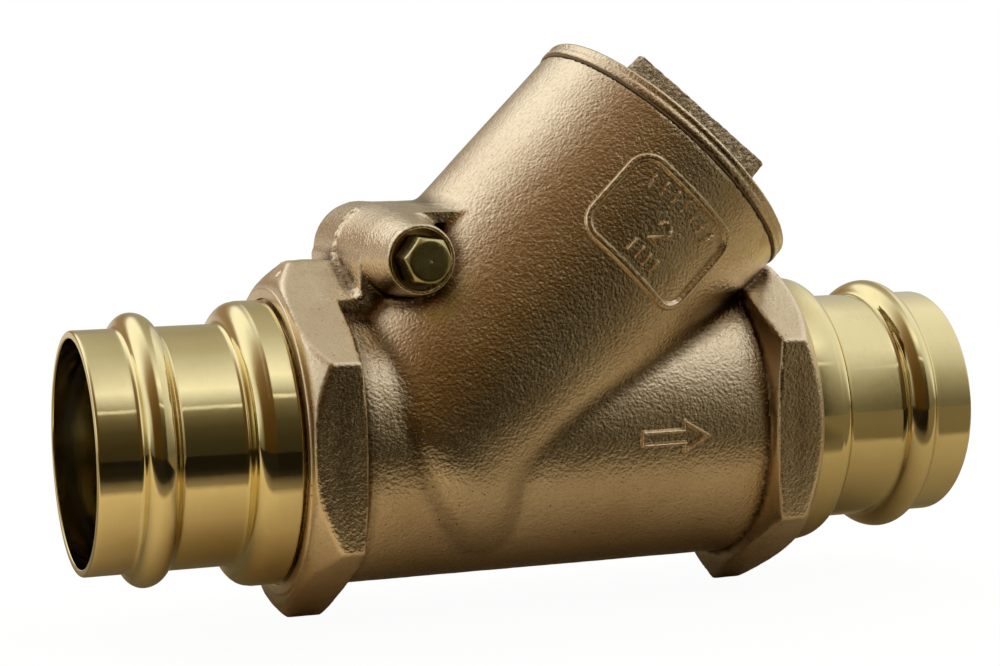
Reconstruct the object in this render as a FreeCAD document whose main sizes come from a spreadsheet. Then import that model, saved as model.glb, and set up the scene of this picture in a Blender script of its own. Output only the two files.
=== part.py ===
import FreeCAD, Part
import math
import os

import Sketcher
from FreeCAD import Placement, Rotation, Vector

# A size 2 Y-pattern swing check valve with a press end screwed into each hexagon.
# Millimetres. The run lies along +X, flow goes towards +X, +Z is up, and the origin is
# the centre of the inlet socket's mouth. Three frames are used, each with its local X
# along an axis of the valve: the run, the branch (local X up the branch, local Z across
# it, away from the outlet) and the hinge pin (local X towards the side plug).

DIMENSIONS = [
    # Run and its two hexagons.
    ("overall_length", 225.6, "mouth of one socket to mouth of the other"),
    ("inlet_face", 47.3, "X of the inlet hexagon's outer face"),
    ("outlet_face", 178.3, "X of the outlet hexagon's outer face"),
    ("hexagon_flat", 39.15, "half of the hexagons' width across flats"),
    ("hexagon_height", 43.6, "half the height between the flats on the top and bottom corners"),
    ("hexagon_corner", 45.3, "radius where the bevels on a hexagon's two sides end"),
    ("hexagon_rim", 39.1, "radius of the flat on a hexagon's two faces"),
    ("hexagon_bevel", 5.8, "depth of the bevel on a hexagon's outer side"),
    ("hexagon_relief", 1.3, "depth of the bevel on a hexagon's inner side"),
    ("inlet_hexagon", 13.2, "thickness of the inlet hexagon"),
    ("outlet_hexagon", 13.9, "thickness of the outlet hexagon"),
    ("run_radius", 35.4, "outside radius of the run"),
    ("pipe_thread", 30.15, "radius of the female pipe threads"),
    ("thread_bore", 15.7, "depth of the female pipe threads"),
    ("inlet_bore", 25.4, "radius of the inlet passage and the throat"),
    ("outlet_bore", 29.4, "radius of the outlet passage"),
    # Branch, measured along its own axis from the run's axis.
    ("branch_angle", 45.0, "angle between branch and run, in degrees"),
    ("branch_x", 84.7, "X where the branch's axis crosses the run's"),
    ("branch_radius", 38.4, "outside radius of the branch"),
    ("branch_face", 92.0, "the branch's machined end face"),
    ("branch_toe", 15.0, "how far the branch's rounded toe runs below the run's axis"),
    ("toe_radius", 30.0, "radius of the toe's small end"),
    ("spot_radius", 39.7, "radius of the facing cut round the branch's end"),
    ("chamber_radius", 33.4, "radius of the disc chamber"),
    ("chamber_floor", 10.0, "floor of the disc chamber"),
    ("bonnet_bore", 34.3, "radius of the bonnet's female thread"),
    ("bonnet_bore_start", 79.0, "lower end of the bonnet's female thread"),
    ("seat_face", 12.0, "the seat's face"),
    ("seat_radius", 30.4, "outside radius of the seat and its wall"),
    # Hinge housing and side boss.
    ("pin_along", 25.9, "hinge pin's place along the branch"),
    ("pin_across", 37.5, "hinge pin's place across the branch"),
    ("pin_bore", 3.2, "radius of the pin's hole in the body"),
    ("pin_hole_depth", 17.4, "depth of the pin's blind hole behind the centre"),
    ("boss_radius", 12.0, "radius of the plug boss and of the housing's back"),
    ("boss_front", 32.0, "front face of the plug boss"),
    ("housing_front", 17.5, "front of the housing"),
    ("housing_back", 21.0, "back of the housing"),
    ("housing_reach", 17.0, "how far the housing runs from the pin into the branch"),
    ("housing_drop", 20.0, "how far the housing's wall drops below the pin"),
    ("web_top", 11.6, "top of the web above the pin"),
    ("web_thickness", 3.6, "thickness of the web that runs into the branch"),
    ("fill_reach", 20.0, "how far the fill behind the inlet hexagon runs from its outer face"),
    ("fill_drop", 22.0, "height of the fill's lower side above the run's axis"),
    ("pocket_radius", 7.6, "radius of the pocket round the arm's knuckle"),
    ("pocket_half", 12.8, "half of the pocket's width"),
    ("slot_low", 18.0, "lower edge of the arm's slot, along the branch"),
    ("slot_high", 35.4, "upper edge of the arm's slot, which stops the arm"),
    ("slot_inner", 25.0, "inner edge of the arm's slot, across the branch"),
    ("plug_hole", 5.2, "radius of the plug's threaded hole"),
    ("plug_hole_end", 18.9, "inner end of the plug's threaded hole"),
    ("plug_sink", 8.0, "radius of the counterbore round the plug's head"),
    ("plug_sink_floor", 28.0, "floor of the counterbore"),
    # Press ends, measured from the socket's mouth.
    ("tube_radius", 29.0, "outside radius of the press cup"),
    ("rim_break", 0.4, "break on the outer edge of the mouth"),
    ("socket_radius", 27.1, "radius of the socket"),
    ("socket_depth", 38.0, "depth of the socket, to the tube stop"),
    ("bead_start", 9.7, "where the bead leaves the cup"),
    ("bead_end", 19.3, "where the bead comes back to the cup"),
    ("bead_curve", 5.0, "radius of the bead's section"),
    ("groove_start", 11.4, "where the seal groove leaves the socket"),
    ("groove_end", 17.6, "where the seal groove comes back to the socket"),
    ("groove_side", 27.95, "radius where the groove's straight sides end"),
    ("groove_curve", 3.12, "radius of the seal groove's section"),
    ("shoulder_start", 33.73, "where the shoulder leaves the cup"),
    ("collar_start", 39.7, "where the collar begins"),
    ("collar_radius", 34.1, "radius of the collar"),
    ("shoulder_curve", 6.05, "radius of the shoulder's section"),
    ("collar_end", 46.7, "the collar's inner face, just clear of the hexagon"),
    ("collar_break", 0.5, "break on the collar's inner edge"),
    ("male_thread", 30.1, "radius of the press end's male thread"),
    ("male_thread_end", 62.3, "end of the male thread"),
    ("male_thread_break", 1.2, "lead on the male thread"),
    ("waterway_radius", 25.2, "radius of the press end's waterway"),
    ("ring_place", 14.5, "the sealing ring's place in the socket"),
    ("ring_mean", 28.87, "mean radius of the sealing ring"),
    ("ring_section", 1.75, "radius of the sealing ring's section"),
    # Bonnet, along the branch.
    ("gasket_top", 92.6, "top of the gasket"),
    ("gasket_inner", 34.7, "inner radius of the gasket"),
    ("gasket_outer", 37.8, "outer radius of the gasket"),
    ("bonnet_top", 95.9, "top of the bonnet's flange"),
    ("bonnet_radius", 38.6, "radius of the bonnet's flange"),
    ("bonnet_break", 0.6, "break on the flange's upper edge"),
    ("bonnet_thread", 34.25, "radius of the bonnet's male thread"),
    ("bonnet_thread_start", 80.0, "lower end of the bonnet's male thread"),
    ("bonnet_recess", 27.5, "radius of the hollow under the bonnet"),
    ("bonnet_recess_top", 90.0, "top of the hollow under the bonnet"),
    ("square_side", 41.6, "side of the square head"),
    ("square_top", 104.8, "top of the square head"),
    ("square_turn", 19.0, "turn of the square head, in degrees"),
    ("square_corner", 2.6, "corner radius of the square head"),
    # Hinge pin and side plug.
    ("pin_radius", 3.175, "radius of the hinge pin"),
    ("pin_length", 35.4, "length of the hinge pin"),
    ("pin_back", 17.0, "how far the pin reaches behind the centre"),
    ("pin_break", 0.5, "break on the pin's ends"),
    ("plug_inner", 19.2, "inner end of the plug, in front of the centre"),
    ("plug_thread", 5.15, "radius of the plug's thread"),
    ("plug_thread_length", 9.4, "length of the plug's thread"),
    ("plug_length", 16.8, "length of the plug with its head"),
    ("plug_flat", 5.55, "half of the plug's width across flats"),
    ("plug_turn", 10.0, "turn of the plug's hexagon, in degrees"),
    ("plug_bevel", 0.8, "depth of the bevel on the plug's head"),
    # Arm, along and across the branch.
    ("knuckle_radius", 6.2, "radius of the arm's knuckle"),
    ("knuckle_half", 12.0, "half of the knuckle's width"),
    ("arm_bore", 3.25, "radius of the knuckle's bore"),
    ("arm_low", 19.6, "underside of the arm's ring"),
    ("arm_high", 27.0, "top of the arm"),
    ("bar_low", 20.4, "underside of the arm's bar"),
    ("bar_half", 7.0, "half of the bar's width"),
    ("eye_radius", 9.6, "radius of the ring round the disc's stem"),
    ("eye_bore", 4.58, "radius of the ring's bore"),
    # Disc, along the branch.
    ("stub_end", 4.2, "lower end of the disc holder's stub"),
    ("stub_radius", 3.5, "radius of the stub"),
    ("soft_face", 12.1, "the soft disc's sealing face"),
    ("soft_back", 15.6, "the soft disc's back"),
    ("soft_radius", 28.5, "radius of the soft disc"),
    ("soft_bore", 3.6, "radius of the soft disc's hole"),
    ("cup_lip", 12.8, "lower edge of the holder's lip"),
    ("cup_inner", 28.6, "radius inside the holder's lip"),
    ("cup_radius", 30.0, "radius of the disc holder"),
    ("cup_shoulder", 17.2, "where the holder's bevel begins"),
    ("cup_top", 19.0, "top of the disc holder's plate"),
    ("cup_top_radius", 27.6, "radius of the plate's top"),
    ("stem_radius", 4.5, "radius of the disc holder's stem"),
    ("stem_end", 38.0, "upper end of the stem"),
    ("stem_break", 0.6, "break on the stem's end"),
    ("clamp_low", 10.6, "underside of the soft disc's washer"),
    ("clamp_radius", 11.0, "radius of the soft disc's washer"),
    ("clamp_nut_low", 5.2, "underside of the soft disc's nut"),
    ("clamp_nut_flat", 6.5, "half of that nut's width across flats"),
    ("clamp_nut_bore", 3.55, "radius of that nut's hole"),
    ("washer_low", 27.2, "underside of the washer above the arm"),
    ("washer_high", 28.4, "top of the washer above the arm"),
    ("washer_radius", 9.0, "radius of the washer above the arm"),
    ("nut_high", 35.4, "top of the slotted nut"),
    ("nut_flat", 7.0, "half of the slotted nut's width across flats"),
    ("nut_bore", 4.55, "radius of the slotted nut's hole"),
    ("nut_slot_low", 32.6, "floor of the nut's slots"),
    ("nut_slot_width", 2.4, "width of the nut's slots"),
    ("split_pin_place", 33.9, "the split pin's place along the stem"),
    ("split_pin_radius", 0.9, "radius of the split pin"),
    ("split_pin_hole", 1.0, "radius of the split pin's hole"),
    ("split_pin_half", 9.4, "half of the split pin's length"),
    ("split_pin_eye", 1.9, "mean radius of the split pin's eye"),
]

FORWARD = Vector(1, 0, 0)
UPWARD = Vector(0, 0, 1)
SIDEWAYS = Vector(0, 1, 0)

doc = FreeCAD.newDocument("check_valve")
sheet = doc.addObject("Spreadsheet::Sheet", "sheet")
sheet.Label = "sheet"
for row, (alias, size, note) in enumerate(DIMENSIONS, start=1):
    sheet.set(f"A{row}", alias)
    sheet.set(f"B{row}", str(size))
    sheet.set(f"C{row}", note)
    sheet.setAlias(f"B{row}", alias)
doc.recompute()


# Sums of sheet cells, such as "bonnet_top - bonnet_break".
def terms(expression):
    """Yields a sign and a cell's name or a number for each term of a sum."""
    sign = 1.0
    for word in expression.split():
        if word in "+-":
            sign = 1.0 if word == "+" else -1.0
        else:
            yield sign, word


def value(expression):
    """The number that a sum of cells comes to."""
    total = 0.0
    for sign, word in terms(expression):
        total += sign * (float(sheet.get(word)) if word[0].isalpha() else float(word))
    return total


def formula(expression):
    """The same sum as an expression that reads the sheet."""
    words = [f"sheet.{word}" if word[0].isalpha() else word for word in expression.split()]
    return " ".join(words)


def bind(item, prop, expression):
    item.setExpression(prop, formula(expression))


def span(start, end):
    """The sum of cells that takes start away from end."""
    flipped = [f"{'-' if sign > 0 else '+'} {word}" for sign, word in terms(start)]
    return " ".join([end, *flipped])


# The frames of the run, the branch and the hinge pin.
RUN = Placement()
LEAN = Rotation(SIDEWAYS, -value("branch_angle"))
BRANCH = Placement(Vector(value("branch_x"), 0, 0), LEAN)
PIN_CENTRE = BRANCH.multVec(Vector(value("pin_along"), 0, value("pin_across")))
PIN = Placement(PIN_CENTRE, Rotation(UPWARD, -90))
TO_AXIS = Rotation(SIDEWAYS, 90)


def along(frame, start):
    """The frame moved along its own X."""
    return frame.multiply(Placement(Vector(start, 0, 0), Rotation()))


# PartDesign bodies.
def new_body(label, frame):
    body = doc.addObject("PartDesign::Body", label)
    body.Label = label
    body.Placement = frame
    return body


def plane(body, role):
    found = [item for item in body.Origin.OriginFeatures if item.Role == role]
    return (found[0], "")


def arc_edge(first, last, radius, side):
    """A circle's arc between two points, its centre on the left or right of the way."""
    chord = last - first
    reach = math.sqrt(radius**2 - (chord.Length / 2) ** 2)
    across = Vector(-chord.y, chord.x, 0).normalize() * (reach if side == "left" else -reach)
    centre = (first + last) * 0.5 + across
    ends = (first, last) if side == "left" else (last, first)
    angles = [math.atan2(end.y - centre.y, end.x - centre.x) for end in ends]
    if angles[1] < angles[0]:
        angles[1] += 2 * math.pi
    return Part.ArcOfCircle(Part.Circle(centre, UPWARD, radius), angles[0], angles[1])


def pin_point(sketch, edge, end, corner):
    """Fixes a corner to its two coordinates, each bound to the sheet."""
    for kind, axis, expression in zip(("DistanceX", "DistanceY"), (-2, -1), corner):
        if value(expression) == 0.0:
            sketch.addConstraint(Sketcher.Constraint("PointOnObject", edge, end, axis))
            continue
        size = value(expression)
        made = sketch.addConstraint(Sketcher.Constraint(kind, -1, 1, edge, end, size))
        sketch.setExpression(f"Constraints[{made}]", formula(expression))


def outline(body, name, role, corners):
    """A closed sketch through corners given as (along, across), or with a radius and the
    side of its centre where the edge that starts there is an arc."""
    sketch = body.newObject("Sketcher::SketchObject", name)
    sketch.AttachmentSupport = plane(body, role)
    sketch.MapMode = "FlatFace"
    points = [Vector(value(corner[0]), value(corner[1]), 0) for corner in corners]
    starts = []
    for index, corner in enumerate(corners):
        first = points[index]
        last = points[(index + 1) % len(points)]
        if len(corner) == 2:
            sketch.addGeometry(Part.LineSegment(first, last), False)
            starts.append((1, 2))
            continue
        edge = arc_edge(first, last, value(corner[2]), corner[3])
        sketch.addGeometry(edge, False)
        starts.append((1, 2) if corner[3] == "left" else (2, 1))
        made = sketch.addConstraint(Sketcher.Constraint("Radius", index, value(corner[2])))
        sketch.setExpression(f"Constraints[{made}]", formula(corner[2]))
    for index, corner in enumerate(corners):
        after = (index + 1) % len(corners)
        joint = ("Coincident", index, starts[index][1], after, starts[after][0])
        sketch.addConstraint(Sketcher.Constraint(*joint))
        pin_point(sketch, index, starts[index][0], corner[:2])
    return sketch


def turn(body, name, corners):
    """Revolves an outline about the body's X axis."""
    sketch = outline(body, name + "_outline", "XY_Plane", corners)
    turned = body.newObject("PartDesign::Revolution", name)
    turned.Profile = (sketch, [""])
    turned.ReferenceAxis = (sketch, ["H_Axis"])
    turned.Angle = 360.0
    sketch.Visibility = False
    return turned


def turned_body(label, frame, corners):
    body = new_body(label, frame)
    turn(body, label + "_turning", corners)
    return body


def place_feature(feature, body, start, twist=0.0):
    """Stands a primitive on the plane across the body's X axis, some way along it."""
    feature.AttachmentSupport = plane(body, "YZ_Plane")
    feature.MapMode = "FlatFace"
    feature.AttachmentOffset = Placement(Vector(0, 0, value(start)), Rotation(UPWARD, twist))
    feature.setExpression(".AttachmentOffset.Base.z", formula(start))


def hexagon(body, name, flat, start, end, twist=0.0):
    """A hexagonal prism along the body's X axis, from its half width across flats."""
    prism = body.newObject("PartDesign::AdditivePrism", name)
    place_feature(prism, body, start, twist)
    prism.Polygon = 6
    prism.setExpression("Circumradius", formula(flat) + " / cos(30 deg)")
    bind(prism, "Height", span(start, end))
    return prism


def bore(body, name, radius, start, end):
    """A round hole along the body's X axis."""
    hole = body.newObject("PartDesign::SubtractiveCylinder", name)
    place_feature(hole, body, start)
    bind(hole, "Radius", radius)
    bind(hole, "Height", span(start, end))
    return hole


def cross_cylinder(body, kind, name, radius, half, place):
    """A cylinder along the body's Y axis, centred on it, at a place along and across."""
    cross = body.newObject(kind, name)
    centre = Vector(value(place[0]), value(half), value(place[1]))
    cross.AttachmentSupport = plane(body, "XY_Plane")
    cross.MapMode = "FlatFace"
    cross.AttachmentOffset = Placement(centre, Rotation(FORWARD, 90))
    bind(cross, "Radius", radius)
    bind(cross, "Height", f"{half} + {half}")
    return cross


# Part primitives and booleans, for the cast body.
def cylinder(name, frame, radius, start, end):
    """A cylinder along a frame's X axis."""
    shape = doc.addObject("Part::Cylinder", name)
    bind(shape, "Radius", radius)
    bind(shape, "Height", span(start, end))
    shape.Placement = along(frame, value(start)).multiply(Placement(Vector(), TO_AXIS))
    return shape


def block(name, frame, x_ends, y_ends, z_ends):
    """A box in a frame, between two sums of cells along each axis."""
    shape = doc.addObject("Part::Box", name)
    for prop, ends in zip(("Length", "Width", "Height"), (x_ends, y_ends, z_ends)):
        bind(shape, prop, span(*ends))
    low = Vector(value(x_ends[0]), value(y_ends[0]), value(z_ends[0]))
    shape.Placement = frame.multiply(Placement(low, Rotation()))
    return shape


def fuse(name, shapes):
    joined = doc.addObject("Part::MultiFuse", name)
    joined.Shapes = shapes
    return joined


def overlap(name, shapes):
    common = doc.addObject("Part::MultiCommon", name)
    common.Shapes = shapes
    return common


def cut(name, base, tool):
    left = doc.addObject("Part::Cut", name)
    left.Base = base
    left.Tool = tool
    return left


def milled_prism(name, frame, length):
    """A hexagonal prism, corners up and down, with those two corners milled flat."""
    prism = doc.addObject("Part::Prism", name + "_sides")
    prism.Polygon = 6
    prism.setExpression("Circumradius", "sheet.hexagon_flat / cos(30 deg)")
    bind(prism, "Height", length)
    prism.Placement = frame.multiply(Placement(Vector(), TO_AXIS))
    wide = ("0 - hexagon_corner", "hexagon_corner")
    flats = block(name + "_flats", frame, ("0", length), wide, ("0 - hexagon_height", "hexagon_height"))
    return overlap(name, [prism, flats])


def end_hexagon(name, frame, thickness):
    """A body-end hexagon, bevelled on its outer side and a little on its inner side."""
    turning = turned_body(
        name + "_turning",
        frame,
        [
            ("0", "0"),
            (thickness, "0"),
            (thickness, "hexagon_rim"),
            (f"{thickness} - hexagon_relief", "hexagon_corner"),
            ("hexagon_bevel", "hexagon_corner"),
            ("0", "hexagon_rim"),
        ],
    )
    return overlap(name, [milled_prism(name + "_prism", frame, thickness), turning])


def housing_fill(inlet_end):
    """The metal between the inlet hexagon and the housing, milled level with the flats."""
    band = block(
        "fill_band",
        inlet_end,
        ("inlet_hexagon - hexagon_relief - 1", "fill_reach"),
        ("0 - housing_front", "housing_back"),
        ("fill_drop", "hexagon_corner"),
    )
    return overlap("housing_fill", [milled_prism("fill_prism", inlet_end, "fill_reach"), band])


def body_outside():
    """The casting before it is hollowed: run, hexagons, branch, hinge housing and boss."""
    inlet_end = along(RUN, value("inlet_face"))
    outlet_end = Placement(Vector(value("outlet_face"), 0, 0), Rotation(UPWARD, 180))
    toe = doc.addObject("Part::Cone", "branch_toe_cone")
    bind(toe, "Radius1", "toe_radius")
    bind(toe, "Radius2", "branch_radius")
    bind(toe, "Height", "branch_toe")
    toe_place = along(BRANCH, -value("branch_toe"))
    toe.Placement = toe_place.multiply(Placement(Vector(), TO_AXIS))
    return fuse(
        "body_outside",
        [
            cylinder("run", RUN, "run_radius", "inlet_face + 2", "outlet_face - 2"),
            end_hexagon("inlet_end", inlet_end, "inlet_hexagon"),
            end_hexagon("outlet_end", outlet_end, "outlet_hexagon"),
            housing_fill(inlet_end),
            toe,
            cylinder("branch", BRANCH, "branch_radius", "0", "branch_face"),
            cylinder("boss", PIN, "boss_radius", "0 - housing_back", "boss_front"),
            block(
                "housing_wall",
                PIN,
                ("0 - housing_back", "housing_front"),
                ("0 - boss_radius", "0"),
                ("0 - housing_drop", "0"),
            ),
            block(
                "housing_core",
                PIN,
                ("0 - housing_back", "pocket_radius"),
                ("0", "housing_reach"),
                ("0 - housing_drop", "web_top"),
            ),
            block(
                "housing_web",
                PIN,
                ("0 - housing_back", "housing_front"),
                ("0", "housing_reach"),
                ("web_top - web_thickness", "web_top"),
            ),
        ],
    )


def body_hollows():
    """Everything that is cored or machined out of the casting."""
    elbow = doc.addObject("Part::Sphere", "elbow")
    bind(elbow, "Radius", "inlet_bore")
    elbow.Placement = BRANCH
    chamber = fuse(
        "chamber_and_outlet",
        [
            cylinder("chamber", BRANCH, "chamber_radius", "chamber_floor", "branch_face"),
            cylinder("outlet", RUN, "outlet_bore", "branch_x", "outlet_face - thread_bore"),
        ],
    )
    seat_wall = cylinder("seat_wall", BRANCH, "seat_radius", "0 - 60", "seat_face")
    inlet_thread_end = "inlet_face + thread_bore"
    return fuse(
        "body_hollows",
        [
            cut("chamber_round_seat", chamber, seat_wall),
            cylinder("inlet", RUN, "inlet_bore", "inlet_face", "branch_x"),
            elbow,
            cylinder("throat", BRANCH, "inlet_bore", "0", "seat_face + 1"),
            cylinder("inlet_thread", RUN, "pipe_thread", "inlet_face - 1", inlet_thread_end),
            cylinder(
                "outlet_thread",
                RUN,
                "pipe_thread",
                "outlet_face - thread_bore",
                "outlet_face + 1",
            ),
            cylinder("bonnet_bore", BRANCH, "bonnet_bore", "bonnet_bore_start", "branch_face"),
            cylinder("facing", BRANCH, "spot_radius", "branch_face", "bonnet_top + 20"),
            cylinder("pocket", PIN, "pocket_radius", "0 - pocket_half", "pocket_half"),
            block(
                "arm_slot",
                BRANCH,
                ("slot_low", "slot_high"),
                ("0 - pocket_half", "pocket_half"),
                ("slot_inner", "pin_across"),
            ),
            cylinder("pin_hole", PIN, "pin_bore", "0 - pin_hole_depth", "plug_hole_end + 1"),
            cylinder("plug_hole", PIN, "plug_hole", "plug_hole_end", "boss_front"),
            cylinder("plug_sink", PIN, "plug_sink", "plug_sink_floor", "boss_front + 1"),
        ],
    )


def make_valve_body():
    return cut("valve_body", body_outside(), body_hollows())


def make_press_end(label, frame):
    """A brass press cup with its sealing bead, shoulder, collar and male pipe thread."""
    return turned_body(
        label,
        frame,
        [
            ("0", "socket_radius"),
            ("groove_start", "socket_radius"),
            ("groove_start", "groove_side", "groove_curve", "right"),
            ("groove_end", "groove_side"),
            ("groove_end", "socket_radius"),
            ("socket_depth", "socket_radius"),
            ("socket_depth", "waterway_radius"),
            ("male_thread_end", "waterway_radius"),
            ("male_thread_end", "male_thread - male_thread_break"),
            ("male_thread_end - male_thread_break", "male_thread"),
            ("collar_end", "male_thread"),
            ("collar_end", "collar_radius - collar_break"),
            ("collar_end - collar_break", "collar_radius"),
            ("collar_start", "collar_radius", "shoulder_curve", "left"),
            ("shoulder_start", "tube_radius"),
            ("bead_end", "tube_radius", "bead_curve", "left"),
            ("bead_start", "tube_radius"),
            ("rim_break", "tube_radius"),
            ("0", "tube_radius - rim_break"),
        ],
    )


def make_o_ring(label, frame):
    ring = doc.addObject("Part::Torus", label)
    bind(ring, "Radius1", "ring_mean")
    bind(ring, "Radius2", "ring_section")
    ring.Placement = along(frame, value("ring_place")).multiply(Placement(Vector(), TO_AXIS))
    return ring


def make_bonnet_gasket():
    return turned_body(
        "bonnet_gasket",
        BRANCH,
        [
            ("branch_face", "gasket_inner"),
            ("gasket_top", "gasket_inner"),
            ("gasket_top", "gasket_outer"),
            ("branch_face", "gasket_outer"),
        ],
    )


def make_bonnet_cap():
    """A screwed cap, hollow underneath, with a cast square head turned out of line."""
    body = turned_body(
        "bonnet_cap",
        BRANCH,
        [
            ("bonnet_recess_top", "0"),
            ("bonnet_top", "0"),
            ("bonnet_top", "bonnet_radius - bonnet_break"),
            ("bonnet_top - bonnet_break", "bonnet_radius"),
            ("gasket_top", "bonnet_radius"),
            ("gasket_top", "bonnet_thread"),
            ("bonnet_thread_start", "bonnet_thread"),
            ("bonnet_thread_start", "bonnet_recess"),
            ("bonnet_recess_top", "bonnet_recess"),
        ],
    )
    head = body.newObject("PartDesign::AdditiveBox", "square_head")
    place_feature(head, body, "bonnet_top - bonnet_break")
    centred = Placement(Vector(-value("square_side") / 2, -value("square_side") / 2, 0), Rotation())
    lifted = Placement(
        Vector(0, 0, value("bonnet_top - bonnet_break")),
        Rotation(UPWARD, -value("square_turn")),
    )
    head.AttachmentOffset = lifted.multiply(centred)
    bind(head, "Length", "square_side")
    bind(head, "Width", "square_side")
    bind(head, "Height", "square_top - bonnet_top + bonnet_break")
    doc.recompute()
    corner_edges = []
    for index, edge in enumerate(head.Shape.Edges, start=1):
        ends = [vertex.Point for vertex in edge.Vertexes]
        straight_up = len(ends) == 2 and abs(abs(ends[0].x - ends[1].x) - edge.Length) < 0.01
        if straight_up and edge.Length > 5 and math.hypot(ends[0].y, ends[0].z) < 30:
            if max(ends[0].x, ends[1].x) > value("square_top") - 0.01:
                corner_edges.append(f"Edge{index}")
    rounding = body.newObject("PartDesign::Fillet", "square_corners")
    rounding.Base = (head, corner_edges)
    bind(rounding, "Radius", "square_corner")
    return body


def make_hinge_pin():
    behind = along(PIN, -value("pin_back"))
    return turned_body(
        "hinge_pin",
        behind,
        [
            ("0", "0"),
            ("0", "pin_radius - pin_break"),
            ("pin_break", "pin_radius"),
            ("pin_length - pin_break", "pin_radius"),
            ("pin_length", "pin_radius - pin_break"),
            ("pin_length", "0"),
        ],
    )


def make_hinge_pin_plug():
    """A hexagon-headed screw plug; its head's corners are bevelled by a turned cut."""
    body = turned_body(
        "hinge_pin_plug",
        along(PIN, value("plug_inner")),
        [
            ("0", "0"),
            ("0", "plug_thread - plug_bevel"),
            ("plug_bevel", "plug_thread"),
            ("plug_thread_length", "plug_thread"),
            ("plug_thread_length", "0"),
        ],
    )
    twist = -value("plug_turn")
    hexagon(body, "plug_head", "plug_flat", "plug_thread_length - 0.2", "plug_length", twist)
    rim = [
        ("plug_length - plug_bevel", "plug_flat + plug_bevel + 0.1"),
        ("plug_length", "plug_flat - 0.4"),
        ("plug_length + 1", "plug_flat - 0.4"),
        ("plug_length + 1", "plug_flat + plug_bevel + 0.1"),
    ]
    sketch = outline(body, "plug_rim_outline", "XY_Plane", rim)
    groove = body.newObject("PartDesign::Groove", "plug_rim")
    groove.Profile = (sketch, [""])
    groove.ReferenceAxis = (sketch, ["H_Axis"])
    groove.Angle = 360.0
    return body


def make_hinge_arm():
    """Knuckle on the pin, flat bar, and a ring round the disc's stem."""
    body = new_body("hinge_arm", BRANCH)
    place = ("pin_along", "pin_across")
    add = "PartDesign::AdditiveCylinder"
    cross_cylinder(body, add, "knuckle", "knuckle_radius", "knuckle_half", place)
    eye = body.newObject(add, "eye")
    place_feature(eye, body, "arm_low")
    bind(eye, "Radius", "eye_radius")
    bind(eye, "Height", "arm_high - arm_low")
    bar = body.newObject("PartDesign::AdditiveBox", "bar")
    bar.AttachmentSupport = plane(body, "XY_Plane")
    bar.MapMode = "FlatFace"
    low = Vector(value("bar_low"), -value("bar_half"), value("eye_bore + 2"))
    bar.AttachmentOffset = Placement(low, Rotation())
    bind(bar, "Length", "arm_high - bar_low")
    bind(bar, "Width", "bar_half + bar_half")
    bind(bar, "Height", "pin_across - eye_bore - 2")
    take = "PartDesign::SubtractiveCylinder"
    cross_cylinder(body, take, "knuckle_bore", "arm_bore", "knuckle_half + 1", place)
    bore(body, "eye_hole", "eye_bore", "arm_low - 1", "arm_high + 1")
    return body


def make_disc_holder():
    """The disc's back: a shallow cup with a stub below and a drilled stem above."""
    body = turned_body(
        "disc_holder",
        BRANCH,
        [
            ("stub_end", "0"),
            ("stub_end", "stub_radius"),
            ("soft_back", "stub_radius"),
            ("soft_back", "cup_inner"),
            ("cup_lip", "cup_inner"),
            ("cup_lip", "cup_radius"),
            ("cup_shoulder", "cup_radius"),
            ("cup_top", "cup_top_radius"),
            ("cup_top", "stem_radius"),
            ("stem_end - stem_break", "stem_radius"),
            ("stem_end", "stem_radius - stem_break"),
            ("stem_end", "0"),
        ],
    )
    take = "PartDesign::SubtractiveCylinder"
    place = ("split_pin_place", "0")
    cross_cylinder(body, take, "split_pin_way", "split_pin_hole", "stem_radius + 1", place)
    return body


def make_ring(label, inner, outer, low, high):
    """A flat ring on the branch's axis."""
    corners = [(low, inner), (high, inner), (high, outer), (low, outer)]
    return turned_body(label, BRANCH, corners)


def make_seat_disc_nut():
    body = new_body("seat_disc_nut", BRANCH)
    hexagon(body, "clamp_nut", "clamp_nut_flat", "clamp_nut_low", "clamp_low")
    bore(body, "clamp_nut_hole", "clamp_nut_bore", "clamp_nut_low - 1", "clamp_low + 1")
    return body


def make_disc_nut():
    """A slotted nut; each slot runs right across, through two opposite flats."""
    body = new_body("disc_nut", BRANCH)
    hexagon(body, "slotted_nut", "nut_flat", "washer_high", "nut_high", 30.0)
    bore(body, "slotted_nut_hole", "nut_bore", "washer_high - 1", "nut_high + 1")
    width = value("nut_slot_width")
    reach = 2.5 * value("nut_flat")
    for index in range(3):
        slot = body.newObject("PartDesign::SubtractiveBox", f"nut_slot_{index + 1}")
        place_feature(slot, body, "nut_slot_low")
        spin = Placement(Vector(0, 0, value("nut_slot_low")), Rotation(UPWARD, 60.0 * index))
        centred = Placement(Vector(-reach / 2, -width / 2, 0), Rotation())
        slot.AttachmentOffset = spin.multiply(centred)
        slot.Length = reach
        bind(slot, "Width", "nut_slot_width")
        bind(slot, "Height", "nut_high - nut_slot_low + 1")
    return body


def make_disc_lock_pin():
    """A split pin across the stem, with its eye at one end."""
    place = along(BRANCH, value("split_pin_place"))
    shank = doc.addObject("Part::Cylinder", "split_pin_shank")
    bind(shank, "Radius", "split_pin_radius")
    bind(shank, "Height", "split_pin_half + split_pin_half")
    back = Placement(Vector(0, value("split_pin_half"), 0), Rotation(FORWARD, 90))
    shank.Placement = place.multiply(back)
    eye = doc.addObject("Part::Torus", "split_pin_loop")
    bind(eye, "Radius1", "split_pin_eye")
    bind(eye, "Radius2", "split_pin_radius")
    out = Placement(Vector(0, value("split_pin_half + split_pin_eye"), 0), Rotation())
    eye.Placement = place.multiply(out)
    return fuse("disc_lock_pin", [shank, eye])


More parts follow.
